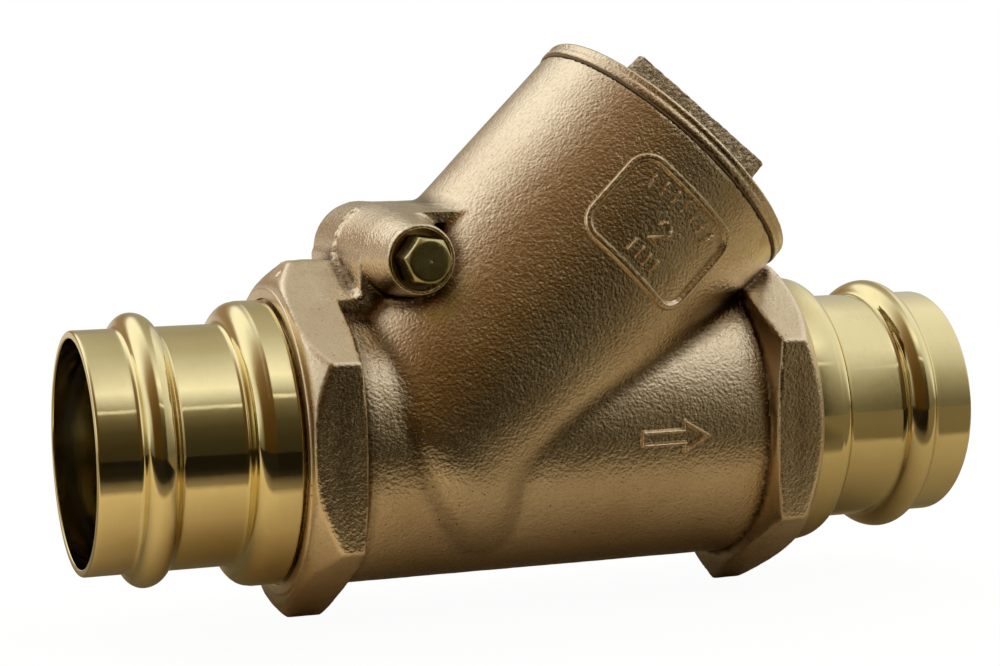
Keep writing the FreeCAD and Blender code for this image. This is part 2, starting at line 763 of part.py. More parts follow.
def make_pieces():
    inlet = RUN
    outlet = Placement(Vector(value("overall_length"), 0, 0), Rotation(UPWARD, 180))
    return [
        make_valve_body(),
        make_press_end("inlet_press_end", inlet),
        make_press_end("outlet_press_end", outlet),
        make_o_ring("inlet_o_ring", inlet),
        make_o_ring("outlet_o_ring", outlet),
        make_bonnet_gasket(),
        make_bonnet_cap(),
        make_hinge_pin(),
        make_hinge_pin_plug(),
        make_hinge_arm(),
        make_disc_holder(),
        make_ring("seat_disc", "soft_bore", "soft_radius", "soft_face", "soft_back"),
        make_ring("seat_disc_washer", "soft_bore", "clamp_radius", "clamp_low", "soft_face"),
        make_seat_disc_nut(),
        make_ring("disc_washer", "eye_bore", "washer_radius", "washer_low", "washer_high"),
        make_disc_nut(),
        make_disc_lock_pin(),
    ]


def check_and_write(pieces):
    """Stops on any failed object or bad shape, then writes one file for each piece."""
    doc.recompute()
    for item in doc.Objects:
        if "Invalid" in item.State or "Error" in item.State:
            raise RuntimeError(f"{item.Name} failed: {item.State}")
    for piece in pieces:
        if piece.Shape.isNull() or not piece.Shape.isValid():
            raise RuntimeError(f"{piece.Label} has no valid shape")
        print(f"{piece.Label}: {len(piece.Shape.Solids)} solid, {piece.Shape.Volume:.0f} mm3")
    os.makedirs("parts", exist_ok=True)
    for piece in pieces:
        piece.Shape.exportStep(f"parts/{piece.Label}.step")


check_and_write(make_pieces())
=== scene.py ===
"""The looks of a bronze Y pattern swing check valve with press ends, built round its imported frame.

Sizes are in millimetres until a mesh is made. The run lies on +X, the branch rises at 45 degrees
in the XZ plane, and the side plug faces -Y.
"""

import math

import bmesh
import bpy
import numpy as np
import openvdb as vdb
from mathutils import Matrix, Vector, noise


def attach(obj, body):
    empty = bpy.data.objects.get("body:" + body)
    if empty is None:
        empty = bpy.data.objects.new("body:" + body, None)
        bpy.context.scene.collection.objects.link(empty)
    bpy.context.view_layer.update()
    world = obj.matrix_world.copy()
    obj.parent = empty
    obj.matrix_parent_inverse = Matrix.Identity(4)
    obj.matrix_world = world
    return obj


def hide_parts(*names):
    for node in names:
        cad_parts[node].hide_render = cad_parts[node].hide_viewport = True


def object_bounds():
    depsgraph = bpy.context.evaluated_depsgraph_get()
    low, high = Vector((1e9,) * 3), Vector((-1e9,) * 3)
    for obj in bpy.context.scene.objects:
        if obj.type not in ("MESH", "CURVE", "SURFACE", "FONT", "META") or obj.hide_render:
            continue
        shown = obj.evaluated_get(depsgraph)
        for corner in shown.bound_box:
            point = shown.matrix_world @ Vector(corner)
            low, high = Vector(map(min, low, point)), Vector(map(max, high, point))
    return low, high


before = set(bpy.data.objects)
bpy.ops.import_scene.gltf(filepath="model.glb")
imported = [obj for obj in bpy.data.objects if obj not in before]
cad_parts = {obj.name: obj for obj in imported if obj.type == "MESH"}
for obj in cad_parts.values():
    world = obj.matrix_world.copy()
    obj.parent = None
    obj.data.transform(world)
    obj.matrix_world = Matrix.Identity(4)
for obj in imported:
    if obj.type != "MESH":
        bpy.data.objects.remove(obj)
CAD_BOX = [list(corner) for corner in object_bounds()]

MM = 0.001
RISE = math.radians(45)
BRANCH_X = 84.7
PIN_X, PIN_Z = 76.498, 44.831
INLET_FACE, OUTLET_FACE, BRANCH_FACE = 47.3, 178.3, 92.0
RUN_RADIUS, BRANCH_RADIUS = 35.4, 38.4
OVERALL = 225.6
FAR_END = Matrix.Translation((OVERALL, 0, 0)) @ Matrix.Rotation(math.pi, 4, "Z")

BRANCH_FRAME = Matrix(
    (
        (math.cos(RISE), 0, -math.sin(RISE), BRANCH_X),
        (0, 1, 0, 0),
        (math.sin(RISE), 0, math.cos(RISE), 0),
        (0, 0, 0, 1),
    )
)


# Distance fields: negative inside, in millimetres.
def both(a, b, curve=0.0):
    """The overlap of two fields, its edge rounded to a radius."""
    if np.isscalar(curve) and not curve:
        return np.maximum(a, b)
    past = np.hypot(np.maximum(a + curve, 0), np.maximum(b + curve, 0))
    return np.minimum(np.maximum(a, b), -curve) + past


def join(a, b, curve=0.0):
    """The union of two fields, its inner corner filleted to a radius."""
    return -both(-a, -b, curve)


def less(a, b, curve=0.0):
    """Field a with field b cut away."""
    return both(a, -b, curve)


def slab(t, low, high):
    return np.maximum(low - t, t - high)


class Grid:
    """A block of evenly spaced points to hold a field."""

    def __init__(self, low, high, step):
        self.low = np.array(low, float)
        self.step = step
        axes = [np.arange(a, b + step, step, dtype=np.float32) for a, b in zip(low, high)]
        self.x = axes[0][:, None, None]
        self.y = axes[1][None, :, None]
        self.z = axes[2][None, None, :]
        self.shape = tuple(len(a) for a in axes)

    def sample(self, field, points):
        index = np.rint((points - self.low) / self.step).astype(int)
        index = np.clip(index, 0, np.array(self.shape) - 1)
        return field[index[:, 0], index[:, 1], index[:, 2]]

    def creases(self, field, reach):
        """How far the field lies above its own average over a reach: high in inner corners."""
        taps = max(1, int(round(reach / self.step)))
        eased = np.broadcast_to(field, self.shape).astype(np.float32)
        own = eased
        for axis in (0, 1, 2, 0, 1, 2):
            padding = [(0, 0)] * 3
            padding[axis] = (taps + 1, taps)
            total = np.cumsum(np.pad(eased, padding, mode="edge"), axis=axis, dtype=np.float64)
            size = self.shape[axis]
            span = 2 * taps + 1
            high = np.take(total, range(span, span + size), axis=axis)
            low = np.take(total, range(size), axis=axis)
            eased = ((high - low) / span).astype(np.float32)
        return own - eased

    def surface(self, field, merge=0.0):
        """Points and faces (four corners each, the last repeated in a triangle) at field zero."""
        full = np.ascontiguousarray(np.broadcast_to(field, self.shape), dtype=np.float32)
        grid = vdb.FloatGrid()
        grid.background = 3 * self.step
        grid.copyFromArray(np.clip(full, -3 * self.step, 3 * self.step))
        points, triangles, quads = grid.convertToPolygons(isovalue=0.0, adaptivity=merge)
        return points * self.step + self.low, triangles, quads


def new_mesh(name, points, faces_by_size):
    """A mesh object from points in millimetres and arrays of faces."""
    mesh = bpy.data.meshes.new(name)
    mesh.vertices.add(len(points))
    mesh.vertices.foreach_set("co", (np.asarray(points) * MM).astype(np.float32).ravel())
    faces = [np.asarray(f) for f in faces_by_size if len(f)]
    corners = np.concatenate([f.ravel() for f in faces]).astype(np.int32)
    sizes = np.concatenate([np.full(len(f), f.shape[1]) for f in faces]).astype(np.int32)
    mesh.loops.add(len(corners))
    mesh.loops.foreach_set("vertex_index", corners)
    mesh.polygons.add(len(sizes))
    starts = np.concatenate([[0], np.cumsum(sizes)[:-1]]).astype(np.int32)
    mesh.polygons.foreach_set("loop_start", starts)
    mesh.update(calc_edges=True)
    mesh.validate()
    mesh.polygons.foreach_set("use_smooth", np.ones(len(mesh.polygons), dtype=bool))
    piece = bpy.data.objects.new(name, mesh)
    bpy.context.scene.collection.objects.link(piece)
    return piece


def face_out(piece):
    """Turns every face outward, and marks the edges sharper than 35 degrees."""
    work = bmesh.new()
    work.from_mesh(piece.data)
    bmesh.ops.recalc_face_normals(work, faces=work.faces)
    for edge in work.edges:
        edge.smooth = edge.calc_face_angle(0) < math.radians(35)
    work.to_mesh(piece.data)
    work.free()
    return piece


def face_centres(piece):
    """The middles of a mesh's faces, in millimetres."""
    centres = np.empty(len(piece.data.polygons) * 3, np.float32)
    piece.data.polygons.foreach_get("center", centres)
    return centres.reshape(-1, 3) / MM


def roughen(piece, layers, keep):
    """Sinks the mesh's points by layers of noise, each a wavelength and a depth in mm.

    keep is each point's share of the depth.
    """
    mesh = piece.data
    count = len(mesh.vertices)
    points = np.empty(count * 3, np.float32)
    normals = np.empty(count * 3, np.float32)
    mesh.vertices.foreach_get("co", points)
    mesh.vertex_normals.foreach_get("vector", normals)
    points = points.reshape(-1, 3)
    normals = normals.reshape(-1, 3)
    depth = np.zeros(count)
    for wavelength, amount in layers:
        scale = 1 / (wavelength * MM)
        values = [noise.noise(Vector(p) * scale) for p in points.tolist()]
        depth += amount * (0.5 - 0.5 * np.array(values))
    points = points - normals * (depth * keep * MM)[:, None]
    mesh.vertices.foreach_set("co", points.astype(np.float32).ravel())
    mesh.update()
    return piece


# Lathe work.
KEPT_WITHIN = 0.002


def arc(centre, radius, start, end, count=24):
    """Points on an arc in (along, radius) coordinates, angles in degrees."""
    angles = np.radians(np.linspace(start, end, count))
    return [
        (centre[0] + radius * math.cos(a), centre[1] + radius * math.sin(a)) for a in angles
    ]


def soften(profile, reach):
    """A closed profile, its corners eased over a length, thinned where it is straight."""
    corners = np.array(profile, float)
    ends = np.roll(corners, -1, 0)
    pieces = []
    for a, b in zip(corners, ends):
        length = np.hypot(*(b - a))
        count = max(1, int(math.ceil(length / (reach / 4))))
        pieces.append(a + (b - a) * (np.arange(count) / count)[:, None])
    dense = np.concatenate(pieces)
    gaps = np.hypot(*(np.roll(dense, -1, 0) - dense).T)
    place = np.concatenate([[0], np.cumsum(gaps)])
    total = place[-1]
    count = int(total / (reach / 5))
    even = np.arange(count) * total / count
    ring = np.column_stack(
        [np.interp(even, place, np.append(dense[:, i], dense[0, i])) for i in (0, 1)]
    )
    spread = np.arange(-8, 9)
    weights = np.exp(-0.5 * (spread / 2.5) ** 2)
    weights /= weights.sum()
    eased = sum(w * np.roll(ring, -k, 0) for k, w in zip(spread, weights))
    kept = [0]
    for i in range(1, len(eased)):
        a, b = eased[kept[-1]], eased[i]
        run = eased[kept[-1] : i + 1] - a
        chord = (b - a) / max(np.hypot(*(b - a)), 1e-9)
        off = np.abs(run[:, 0] * chord[1] - run[:, 1] * chord[0]).max()
        if off > KEPT_WITHIN:
            kept.append(i - 1 if i - 1 > kept[-1] else i)
    return eased[kept]


def lathe(name, profile, place, segments=180):
    """Turns a closed profile of (along, radius) points round a frame's X axis."""
    ring = np.asarray(profile)
    angles = np.linspace(0, 2 * math.pi, segments, endpoint=False)
    across = np.stack([np.cos(angles), np.sin(angles)], 1)
    points = np.empty((segments, len(ring), 3))
    points[:, :, 0] = ring[None, :, 0]
    points[:, :, 1] = across[:, None, 0] * ring[None, :, 1]
    points[:, :, 2] = across[:, None, 1] * ring[None, :, 1]
    a = np.arange(segments)[:, None] * len(ring) + np.arange(len(ring))[None, :]
    b = np.roll(a, -1, 0)
    quads = np.stack([a, b, np.roll(b, -1, 1), np.roll(a, -1, 1)], -1).reshape(-1, 4)
    flat = points.reshape(-1, 3)
    turn = np.array(place)
    flat = flat @ turn[:3, :3].T + turn[:3, 3]
    return face_out(new_mesh(name, flat, [quads]))


# Materials.
class Tree:
    """The node tree of a material or a world, with short ways to add to it."""

    def __init__(self, owner):
        owner.use_nodes = True
        self.tree = owner.node_tree
        self.tree.nodes.clear()

    def add(self, kind, **values):
        node = self.tree.nodes.new(kind)
        for key, item in values.items():
            setattr(node, key, item)
        return node

    def link(self, source, target):
        self.tree.links.new(source, target)

    def fill(self, socket, item):
        """Sets a socket to a number or a colour, or links it to another node's output."""
        if isinstance(item, (int, float)):
            socket.default_value = item
        elif isinstance(item, tuple):
            socket.default_value = (*item, 1)
        else:
            self.link(item, socket)

    def ramp(self, source, stops):
        """Maps a value through (place, value) or (place, colour) stops."""
        node = self.add("ShaderNodeValToRGB")
        while len(node.color_ramp.elements) < len(stops):
            node.color_ramp.elements.new(0.5)
        for element, (place, value) in zip(node.color_ramp.elements, stops):
            element.position = place
            colour = (value,) * 3 if isinstance(value, (int, float)) else value
            element.color = (*colour, 1)
        self.link(source, node.inputs["Fac"])
        return node.outputs["Color"]

    def span(self, source, start, finish, low=0.0, high=1.0, easing="SMOOTHSTEP"):
        """Goes from low to high while the source goes from start to finish."""
        node = self.add("ShaderNodeMapRange", interpolation_type=easing)
        node.inputs["From Min"].default_value = start
        node.inputs["From Max"].default_value = finish
        node.inputs["To Min"].default_value = low
        node.inputs["To Max"].default_value = high
        self.link(source, node.inputs["Value"])
        return node.outputs["Result"]

    def math(self, operation, *values):
        node = self.add("ShaderNodeMath", operation=operation)
        for socket, item in zip(node.inputs, values):
            self.fill(socket, item)
        return node.outputs["Value"]

    def mix(self, share, a, b, blend="MIX"):
        node = self.add("ShaderNodeMix", data_type="RGBA", blend_type=blend)
        for index, item in ((0, share), (6, a), (7, b)):
            self.fill(node.inputs[index], item)
        return node.outputs[2]

    def place(self, coordinates):
        """The three coordinates of a point, apart."""
        where = self.add("ShaderNodeTexCoord")
        split = self.add("ShaderNodeSeparateXYZ")
        self.link(where.outputs[coordinates], split.inputs[0])
        return split.outputs

    def sum(self, a, b):
        node = self.add("ShaderNodeAddShader")
        self.link(a.outputs[0], node.inputs[0])
        self.link(b.outputs[0], node.inputs[1])
        return node

    def show(self, kind, lit, seen):
        """Puts out one shader for the light on the object, another for the camera."""
        output = self.add(kind)
        switch = self.add("ShaderNodeMixShader")
        path = self.add("ShaderNodeLightPath")
        self.link(path.outputs["Is Camera Ray"], switch.inputs["Fac"])
        self.link(lit.outputs[0], switch.inputs[1])
        self.link(seen.outputs[0], switch.inputs[2])
        self.link(switch.outputs[0], output.inputs["Surface"])


class Surface(Tree):
    """A piece's material, its coordinates in millimetres."""

    def __init__(self, name):
        self.material = bpy.data.materials.new(name)
        super().__init__(self.material)
        self.shader = self.add("ShaderNodeBsdfPrincipled")
        output = self.add("ShaderNodeOutputMaterial")
        self.link(self.shader.outputs["BSDF"], output.inputs["Surface"])
        where = self.add("ShaderNodeTexCoord")
        scaled = self.add("ShaderNodeMapping")
        scaled.inputs["Scale"].default_value = (1 / MM, 1 / MM, 1 / MM)
        self.link(where.outputs["Object"], scaled.inputs["Vector"])
        self.point = scaled.outputs["Vector"]

    def noise(self, scale, detail, rough, point=None):
        node = self.add("ShaderNodeTexNoise")
        node.inputs["Scale"].default_value = scale
        node.inputs["Detail"].default_value = detail
        node.inputs["Roughness"].default_value = rough
        self.link(point or self.point, node.inputs["Vector"])
        return node.outputs["Fac"]

    def cells(self, scale):
        node = self.add("ShaderNodeTexVoronoi")
        node.inputs["Scale"].default_value = scale
        self.link(self.point, node.inputs["Vector"])
        return node.outputs["Distance"]

    def bump(self, height, depth, after=None):
        node = self.add("ShaderNodeBump")
        node.inputs["Distance"].default_value = depth * MM
        self.link(height, node.inputs["Height"])
        if after is not None:
            self.link(after, node.inputs["Normal"])
        return node.outputs["Normal"]

    def stretched(self, scale):
        node = self.add("ShaderNodeMapping")
        node.inputs["Scale"].default_value = scale
        self.link(self.point, node.inputs["Vector"])
        return node.outputs["Vector"]

    def finish(self, colour, rough, normal, metal=1.0):
        self.shader.inputs["Metallic"].default_value = metal
        self.link(colour, self.shader.inputs["Base Color"])
        self.link(rough, self.shader.inputs["Roughness"])
        self.link(normal, self.shader.inputs["Normal"])
        return self.material


def cast_bronze(name, grain, depth, rough, shaded=(0.34, 0.8, 0.5)):
    """Sand cast bronze: pebbled skin, small pits, warm and pale patches, and painted shade that
    darkens its creases.
    """
    n = Surface(name)
    tone = n.noise(0.045, 3, 0.6)
    base = n.ramp(
        tone,
        [
            (0.30, (0.74, 0.59, 0.39)),
            (0.50, (0.80, 0.66, 0.455)),
            (0.70, (0.85, 0.72, 0.51)),
        ],
    )
    fine = n.noise(grain, 4, 0.6)
    shade = n.ramp(fine, [shaded[:2], (shaded[2], 1.0)])
    skin = n.mix(0.75, base, shade, "MULTIPLY")
    pits = n.ramp(n.cells(0.36), [(0.045, 0.0), (0.075, 1.0)])
    skin = n.mix(1.0, skin, pits, "MULTIPLY")
    # Painted shade: a point attribute, high in inner corners and creases, darkens the colour there
    # towards dark brown.
    painted_crease_shade = n.add("ShaderNodeAttribute", attribute_name="painted_crease_shade").outputs["Fac"]
    dark = n.ramp(painted_crease_shade, [(0.0, (1.0, 1.0, 1.0)), (1.0, (0.22, 0.17, 0.12))])
    skin = n.mix(1.0, skin, dark, "MULTIPLY")
    pebble = n.ramp(n.cells(grain * 0.85), [(0.0, 1.0), (0.75, 0.0)])
    height = n.math("ADD", n.math("MULTIPLY", fine, 1.1), n.math("MULTIPLY", pebble, 0.35))
    height = n.math("ADD", height, n.math("MULTIPLY", pits, 0.6))
    normal = n.bump(height, depth)
    gloss = n.ramp(n.noise(0.11, 3, 0.6), [(0.3, rough - 0.06), (0.7, rough + 0.07)])
    return n.finish(skin, gloss, normal)


def turned_metal(name, colour, dark, rough, lines, depth, axis="x"):
    """Turned metal: fine tool lines round the axis, faint stains and handling marks."""
    n = Surface(name)
    along = {"x": (lines, 0.02, 0.02), "y": (0.02, lines, 0.02)}[axis]
    tool = n.noise(1.0, 3, 0.7, n.stretched(along))
    stain = n.noise(0.06, 4, 0.65)
    base = n.mix(n.ramp(stain, [(0.42, 0.0), (0.78, 1.0)]), colour, dark)
    base = n.mix(0.25, base, n.ramp(tool, [(0.3, 0.86), (0.6, 1.0)]), "MULTIPLY")
    gloss = n.ramp(n.noise(0.16, 4, 0.6), [(0.3, rough - 0.03), (0.75, rough + 0.07)])
    haze = n.noise(0.22, 2, 0.5)
    normal = n.bump(tool, depth)
    normal = n.bump(haze, 0.02, normal)
    return n.finish(base, gloss, normal)


def rubber(name):
    n = Surface(name)
    speck = n.noise(3.0, 3, 0.6)
    base = n.ramp(speck, [(0.3, (0.012, 0.012, 0.013)), (0.7, (0.035, 0.035, 0.036))])
    return n.finish(base, n.ramp(speck, [(0.3, 0.42), (0.7, 0.6)]), n.bump(speck, 0.02), 0.0)


def ptfe(name):
    n = Surface(name)
    cloud = n.noise(0.4, 3, 0.6)
    base = n.ramp(cloud, [(0.3, (0.72, 0.72, 0.69)), (0.7, (0.85, 0.85, 0.82))])
    return n.finish(base, n.ramp(cloud, [(0.3, 0.3), (0.7, 0.42)]), n.bump(cloud, 0.03), 0.0)


def fibre(name):
    n = Surface(name)
    speck = n.noise(1.6, 4, 0.6)
    base = n.ramp(speck, [(0.3, (0.26, 0.18, 0.11)), (0.7, (0.42, 0.31, 0.19))])
    return n.finish(base, n.ramp(speck, [(0.3, 0.6), (0.7, 0.8)]), n.bump(speck, 0.05), 0.0)


def ground_steel(name):
    n = Surface(name)
    lines = n.noise(1.0, 3, 0.7, n.stretched((0.4, 6.0, 6.0)))
    base = n.ramp(lines, [(0.3, (0.46, 0.46, 0.46)), (0.7, (0.62, 0.62, 0.61))])
    return n.finish(base, n.ramp(lines, [(0.3, 0.2), (0.7, 0.36)]), n.bump(lines, 0.01))


CAST = cast_bronze("cast_bronze_skin", 1.35, 0.17, 0.13)
DRESSED = cast_bronze("dressed_cast_bronze", 1.6, 0.06, 0.3)
COARSE = cast_bronze("coarse_cast_bronze", 1.0, 0.7, 0.22, (0.42, 0.25, 0.62))
BRASS = turned_metal(
    "turned_brass", (0.82, 0.71, 0.385), (0.76, 0.64, 0.32), 0.06, 9.0, 0.004
)
# Painted shade: the side plug's brass is the press ends' brass darkened by about a third, for the
# darker surroundings its face reflects.
SHADED_PLUG_BRASS = turned_metal(
    "shaded_plug_brass", (0.60, 0.54, 0.255), (0.50, 0.44, 0.185), 0.26, 4.0, 0.004, "y"
)
MACHINED = turned_metal(
    "machined_bronze", (0.50, 0.37, 0.23), (0.38, 0.26, 0.15), 0.26, 5.0, 0.012
)
NUT_BRASS = turned_metal("nut_brass", (0.74, 0.60, 0.33), (0.62, 0.46, 0.22), 0.22, 5.0, 0.006)
RUBBER = rubber("seal_rubber")
PTFE = ptfe("soft_disc_ptfe")
FIBRE = fibre("gasket_fibre")
STEEL = ground_steel("ground_steel")


def paint(piece, *materials):
    piece.data.materials.clear()
    for material in materials:
        piece.data.materials.append(material)
    return piece


def stand_for(piece, body, slot, *nodes):
    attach(piece, body)
    if nodes:
        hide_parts(*nodes)
    return piece


# The casting.
SLANT = 39.1
HEXAGON_HEIGHT = 43.55
HEXAGON_DRAFT = 0.21
FACE_RING, FACE_SLOPE, FACE_PROUD = 1.9, 0.2, 0.2
BOSS_RADIUS = 12.1
BOSS_DRAFT = 0.09
BOSS_KNEE = 17.5
BOSS_TAPER = 0.17
BOSS_FRONT = -30.8
SINK_RADIUS = 7.3
TOE_RADIUS, TOE_REACH = 37.9, 28.0
STEP_HEIGHT = 0.28
THROAT_RADIUS = 25.4
OUTLET_RADIUS = 29.4
THREAD_RADIUS, THREAD_LENGTH = 30.15, 15.7
CASTING_STEP = 0.64
CREASE_REACH = 2.4
# Crease depths at which the painted shade in the casting's colour begins and is full.
UNSHADED_CREASE, FULLY_SHADED_CREASE = 0.1, 0.75
HIDDEN_WITHIN = 0.45
CAST_WAVES = [(9.0, 0.12), (2.0, 0.07)]


def facet(grid):
    """Distance out from the planes of the hexagons' four slanted sides."""
    low = np.where(grid.z < 0, 0.8, 0.0)
    return 0.5 * np.abs(grid.y) + math.sqrt(0.75) * np.abs(grid.z) - SLANT + low


def end_hexagon(grid, depth, thickness, rim, slope, lift):
    """A hexagon on the end of the body. depth is the distance in from its outer face.

    Both sides are bevelled: the outer one from the rim's radius by the slope, a little off
    centre as far as lift says, and the inner one only slightly.
    """
    wide = np.abs(grid.y)
    sides = both(wide - SLANT, facet(grid), 0.4)
    sides = both(sides, np.abs(grid.z) - HEXAGON_HEIGHT, 0.4)
    centre = lift[0] + (lift[1] - lift[0]) * np.clip(-grid.y / 35, 0, 1)
    outer = np.hypot(grid.y, grid.z - centre) - rim
    gentle = (outer + FACE_RING) * FACE_SLOPE - FACE_PROUD - depth
    gentle = gentle / math.hypot(FACE_SLOPE, 1)
    steep = (outer * slope - depth) / math.hypot(slope, 1)
    sides = both(both(sides, gentle, 0.3), steep, 0.6)
    inner = np.hypot(grid.y, grid.z) - rim
    relief = inner * HEXAGON_DRAFT - (thickness - depth)
    relief = relief / math.hypot(HEXAGON_DRAFT, 1)
    return both(both(sides, relief, 0.5), slab(depth, -FACE_PROUD, thickness), 0.35)


def housing(grid):
    """The hinge housing and the plug's boss, drafted from the parting plane at y = 0."""
    across = grid.x - PIN_X
    up = grid.z - PIN_Z
    front = np.maximum(-grid.y, 0)
    behind = np.maximum(grid.y, 0)
    radius = BOSS_RADIUS - BOSS_DRAFT * np.minimum(front, BOSS_KNEE) - 0.02 * behind
    radius = radius - BOSS_TAPER * np.maximum(front - BOSS_KNEE, 0)
    boss = both(np.hypot(across, up) - radius, -30.0 - grid.y, 0.3)
    boss = both(boss, grid.y - 21, 2.8)
    left = -(12.6 - BOSS_DRAFT * front - 0.02 * behind) - across
    wall = both(np.maximum(left, across), slab(up, -22, 0))
    wall = both(both(wall, -BOSS_KNEE - grid.y, 0.9), grid.y - 21, 2.4)
    top = up - (11.9 - 0.085 * front - 0.03 * behind)
    core = np.maximum(slab(across, 0, 17), np.maximum(-20 - up, top))
    core = both(core, slab(grid.y, -7.6, 21), 0.8)
    web = np.maximum(slab(across, -2, 17), np.maximum(7.4 - up, top))
    web = both(web, slab(grid.y, -17.4, 21), 0.35)
    whole = join(join(boss, wall, 0.3), join(core, web, 0.5), 0.4)
    # The gap to the inlet hexagon is filled, and milled off with its slanted side.
    fill = np.maximum(slab(grid.x, 56, 68), np.maximum(facet(grid), 22 - grid.z))
    fill = np.maximum(fill, np.abs(grid.z) - HEXAGON_HEIGHT)
    fill = both(fill, slab(grid.y, -17.2, 21), 0.3)
    return join(whole, fill, 0.25)


def burrs(grid):
    """The rough beads that the mould's parting and the milling left on the housing."""
    across = grid.x - PIN_X
    up = grid.z - PIN_Z
    rho = np.hypot(across, up)
    ragged = np.sin(grid.z * 2.3 + 1.0) * np.sin(grid.y * 1.9 + grid.x * 1.3)
    ring = np.hypot(rho - BOSS_RADIUS, grid.y) - 0.7 - 0.3 * ragged
    ring = np.maximum(ring, np.maximum(-0.5 - up, across + 5.5))
    start = np.array((63.9, 0.0, 45.0))
    way = np.array((1.75, -17.0, -9.8))
    gap = [axis - c for axis, c in zip((grid.x, grid.y, grid.z), start)]
    t = sum(g * w for g, w in zip(gap, way)) / (way @ way)
    t = np.clip(t, 0, 1)
    line = np.sqrt(sum((g - t * w) ** 2 for g, w in zip(gap, way)))
    return np.minimum(ring, line - 0.7 - 0.35 * t - 0.3 * ragged)


def valve_body_fields(grid):
    """The outside and the hollows of the casting."""
    c = math.cos(RISE)
    s = ((grid.x - BRANCH_X) + grid.z) * c
    n = (grid.z - (grid.x - BRANCH_X)) * c
    run_rho = np.hypot(grid.y, grid.z)
    rho = np.hypot(grid.y, n)
    pin_rho = np.hypot(grid.x - PIN_X, grid.z - PIN_Z)

    # The branch's outline on the run stands a little proud, and ends in a low step.
    pull = RUN_RADIUS / np.maximum(run_rho, 1)
    s_run = ((grid.x - BRANCH_X) + grid.z * pull) * c
    n_run = (grid.z * pull - (grid.x - BRANCH_X)) * c
    rho_run = np.hypot(grid.y * pull, n_run)
    end_run = (np.hypot(rho_run / TOE_RADIUS, s_run / TOE_REACH) - 1) * TOE_RADIUS
    shadow = np.where(s_run < 0, end_run, rho_run - TOE_RADIUS)
    lift = STEP_HEIGHT * np.clip(0.5 - shadow / 0.8, 0, 1)
    run = both(run_rho - RUN_RADIUS - 0.1 - lift, slab(grid.x, 53, 165.9), 2.4)
    barrel = rho - np.minimum(TOE_RADIUS + 0.03 * s, BRANCH_RADIUS)
    toe = (np.hypot(rho / TOE_RADIUS, s / TOE_REACH) - 1) * TOE_RADIUS
    bulge = both(np.where(s < 0, toe, barrel), s - BRANCH_FACE, 0.3)
    ease = 0.35 + 2.6 * np.clip((grid.x - 104) / 41, 0, 1)
    outside = join(run, bulge, ease)
    outside = join(outside, housing(grid), 1.3)
    inlet_end = end_hexagon(grid, grid.x - INLET_FACE, 13.1, 39.1, 0.93, (-1.0, 2.6))
    outlet_end = end_hexagon(grid, OUTLET_FACE - grid.x, 13.8, 37.8, 0.82, (0.5, 0.5))
    pit = np.sqrt((grid.x - 49.6) ** 2 + (grid.y + 3.0) ** 2 + (grid.z - 41.0) ** 2)
    inlet_end = less(inlet_end, pit - 0.9, 0.15)
    outside = join(outside, inlet_end, 0.3)
    outside = join(outside, outlet_end, 0.4)
    outside = join(outside, burrs(grid), 0.2)

    chamber = both(rho - 33.4, slab(s, 10, BRANCH_FACE), 0.8)
    outlet = both(run_rho - OUTLET_RADIUS, slab(grid.x, BRANCH_X, OUTLET_FACE - THREAD_LENGTH))
    seat = both(rho - 30.4, slab(s, -60, 12), 0.3)
    hollow = less(join(chamber, outlet, 0.5), seat, 0.3)
    inlet = both(run_rho - THROAT_RADIUS, slab(grid.x, INLET_FACE, BRANCH_X))
    elbow = np.sqrt((grid.x - BRANCH_X) ** 2 + run_rho**2) - THROAT_RADIUS
    throat = both(rho - THROAT_RADIUS, slab(s, 0, 13))
    hollow = join(hollow, join(join(inlet, elbow), throat))
    threads = join(
        both(run_rho - THREAD_RADIUS, slab(grid.x, 40, INLET_FACE + THREAD_LENGTH)),
        both(run_rho - THREAD_RADIUS, slab(grid.x, OUTLET_FACE - THREAD_LENGTH, 185)),
    )
    hollow = join(hollow, threads)
    collars = both(run_rho - 35.4, 64.9 - np.abs(grid.x - OVERALL / 2))
    hollow = join(hollow, collars)
    hollow = join(hollow, both(rho - 34.3, slab(s, 79, 100)))
    facing = both(rho - 39.7, slab(s, BRANCH_FACE, 116))
    pocket = both(pin_rho - 7.6, slab(grid.y, -12.8, 12.8), 0.5)
    slot = np.maximum(slab(s, 18, 35.4), slab(n, 25, 37.5))
    slot = both(slot, slab(grid.y, -12.8, 12.8), 0.5)
    hollow = join(hollow, join(pocket, slot, 0.4), 0.4)
    hollow = join(hollow, both(pin_rho - 3.2, slab(grid.y, -19.9, 17.4)))
    plug_hole = both(pin_rho - 5.2, slab(grid.y, -34, -18.9))
    sink = both(pin_rho - SINK_RADIUS, slab(grid.y, -36, -28))
    hollow = join(hollow, join(plug_hole, sink))
    hollow = join(hollow, facing)
    return outside, hollow


def parting_flash(grid, outside):
    """A low wavy bead where the two halves of the mould met."""
    waves = 0.7 + 0.3 * np.sin(grid.z * 1.1 + 0.7) * np.sin(grid.x * 0.83)
    clear = np.clip((40.5 - np.abs(grid.z)) / 2, 0, 1)
    return outside - 0.2 * waves * clear * np.exp(-((grid.y / 0.75) ** 2))


